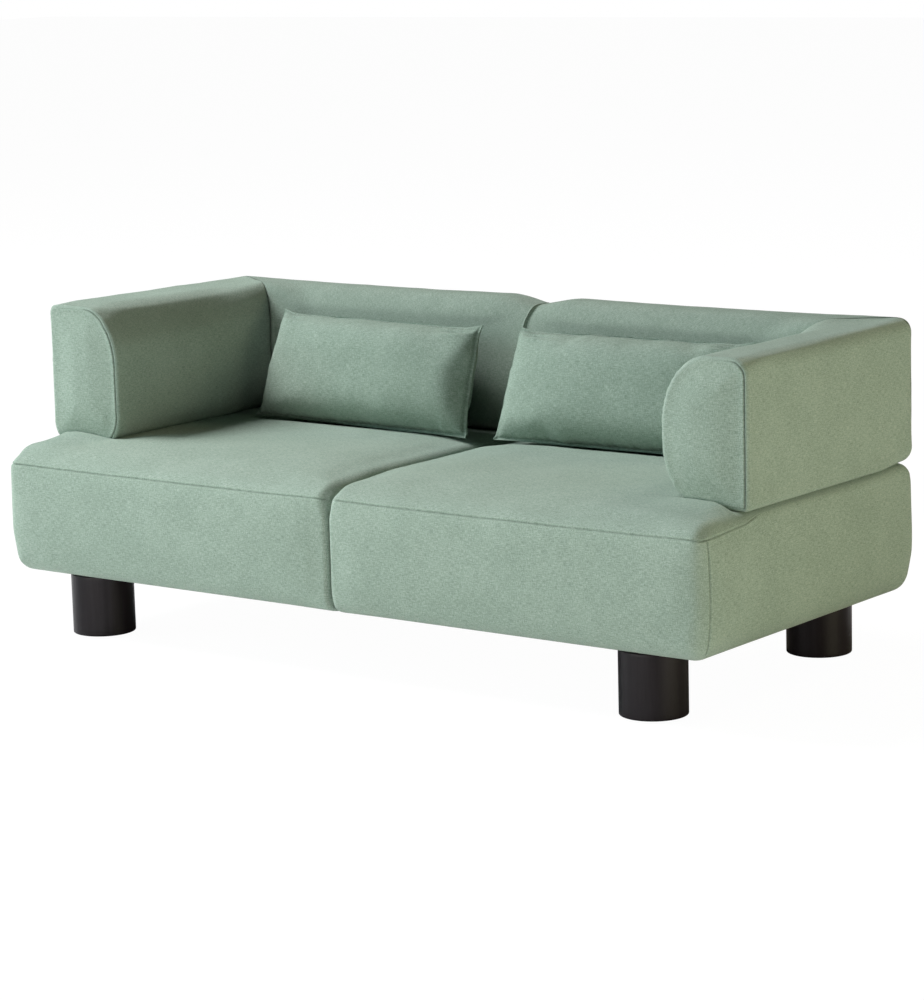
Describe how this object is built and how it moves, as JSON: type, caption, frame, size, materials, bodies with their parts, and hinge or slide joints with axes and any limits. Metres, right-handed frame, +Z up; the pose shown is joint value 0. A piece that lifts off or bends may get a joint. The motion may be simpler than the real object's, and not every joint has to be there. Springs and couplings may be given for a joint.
{
  "type": "two-seat sofa",
  "caption": "Low upholstered sofa: base in two halves, D-shaped arms and back with mitred corners, loose lumbar cushions with zips, round dark wooden legs.",
  "frame": {"origin": "on the floor under the middle of the sofa", "axes": "+X to the right of somebody facing the sofa's front from -Y, -Y towards the front, +Z up"},
  "size_m": [1.8, 0.81, 0.697],
  "materials": {
    "sofa_fabric": "matte sage-green melange wool weave",
    "cushion_fabric": "the same sage-green melange weave",
    "leg_wood": "satin, stained nearly black",
    "frame_pine": "sawn softwood, unfinished",
    "plywood": "sanded birch plywood",
    "foam": "cut polyurethane foam",
    "wadding": "polyester fibre wadding",
    "webbing": "woven elastic webbing",
    "dust_cloth": "black non-woven cloth",
    "steel": "zinc-plated",
    "glide_nylon": "moulded nylon",
    "zip_tape": "moulded coil on a dyed tape"
  },
  "bodies": {
    "sofa": {"leg_front_left": "leg_wood", "glide_front_left": "glide_nylon", "leg_bolt_front_left": "steel", "leg_block_front_left": "frame_pine", "leg_rear_left": "leg_wood", "glide_rear_left": "glide_nylon", "leg_bolt_rear_left": "steel", "leg_block_rear_left": "frame_pine", "side_board_left": "plywood", "webbing_strap_left_1": "webbing", "webbing_strap_left_2": "webbing", "webbing_strap_left_3": "webbing", "base_foam_left": "foam", "base_cover_left": "sofa_fabric", "arm_cover_left": "sofa_fabric", "arm_foam_left": "foam", "arm_frame_left": "plywood", "back_cover_left": "sofa_fabric", "back_foam_left": "foam", "back_frame_left": "plywood", "arm_bolt_front_left": "steel", "arm_bolt_rear_left": "steel", "back_bolt_inner_left": "steel", "back_bolt_outer_left": "steel", "leg_front_right": "leg_wood", "glide_front_right": "glide_nylon", "leg_bolt_front_right": "steel", "leg_block_front_right": "frame_pine", "leg_rear_right": "leg_wood", "glide_rear_right": "glide_nylon", "leg_bolt_rear_right": "steel", "leg_block_rear_right": "frame_pine", "side_board_right": "plywood", "webbing_strap_right_1": "webbing", "webbing_strap_right_2": "webbing", "webbing_strap_right_3": "webbing", "base_foam_right": "foam", "base_cover_right": "sofa_fabric", "arm_cover_right": "sofa_fabric", "arm_foam_right": "foam", "arm_frame_right": "plywood", "back_cover_right": "sofa_fabric", "back_foam_right": "foam", "back_frame_right": "plywood", "arm_bolt_front_right": "steel", "arm_bolt_rear_right": "steel", "back_bolt_inner_right": "steel", "back_bolt_outer_right": "steel", "dust_cover": "dust_cloth", "front_rail": "frame_pine", "rear_board": "plywood", "centre_rail": "frame_pine"},
    "cushion_left": {"cushion_cover_left": "cushion_fabric", "cushion_insert_left": "wadding", "zip_chain_left": "zip_tape"},
    "cushion_right": {"cushion_cover_right": "cushion_fabric", "cushion_insert_right": "wadding", "zip_chain_right": "zip_tape"},
    "zip_slider_left": {"zip_slider_left": "steel"},
    "zip_slider_right": {"zip_slider_right": "steel"}
  },
  "joints": [
    {"name": "cushion_left_lift", "type": "slide", "parent": "sofa", "child": "cushion_left", "axis": [0, 0, 1], "range_m": [0, 0.45]},
    {"name": "cushion_right_lift", "type": "slide", "parent": "sofa", "child": "cushion_right", "axis": [0, 0, 1], "range_m": [0, 0.45]},
    {"name": "zip_left_pull", "type": "slide", "parent": "cushion_left", "child": "zip_slider_left", "axis": [0.9983, -0.0576, 0], "range_m": [0, 0.405]},
    {"name": "zip_right_pull", "type": "slide", "parent": "cushion_right", "child": "zip_slider_right", "axis": [0.9996, 0.0279, 0], "range_m": [0, 0.405]}
  ]
}
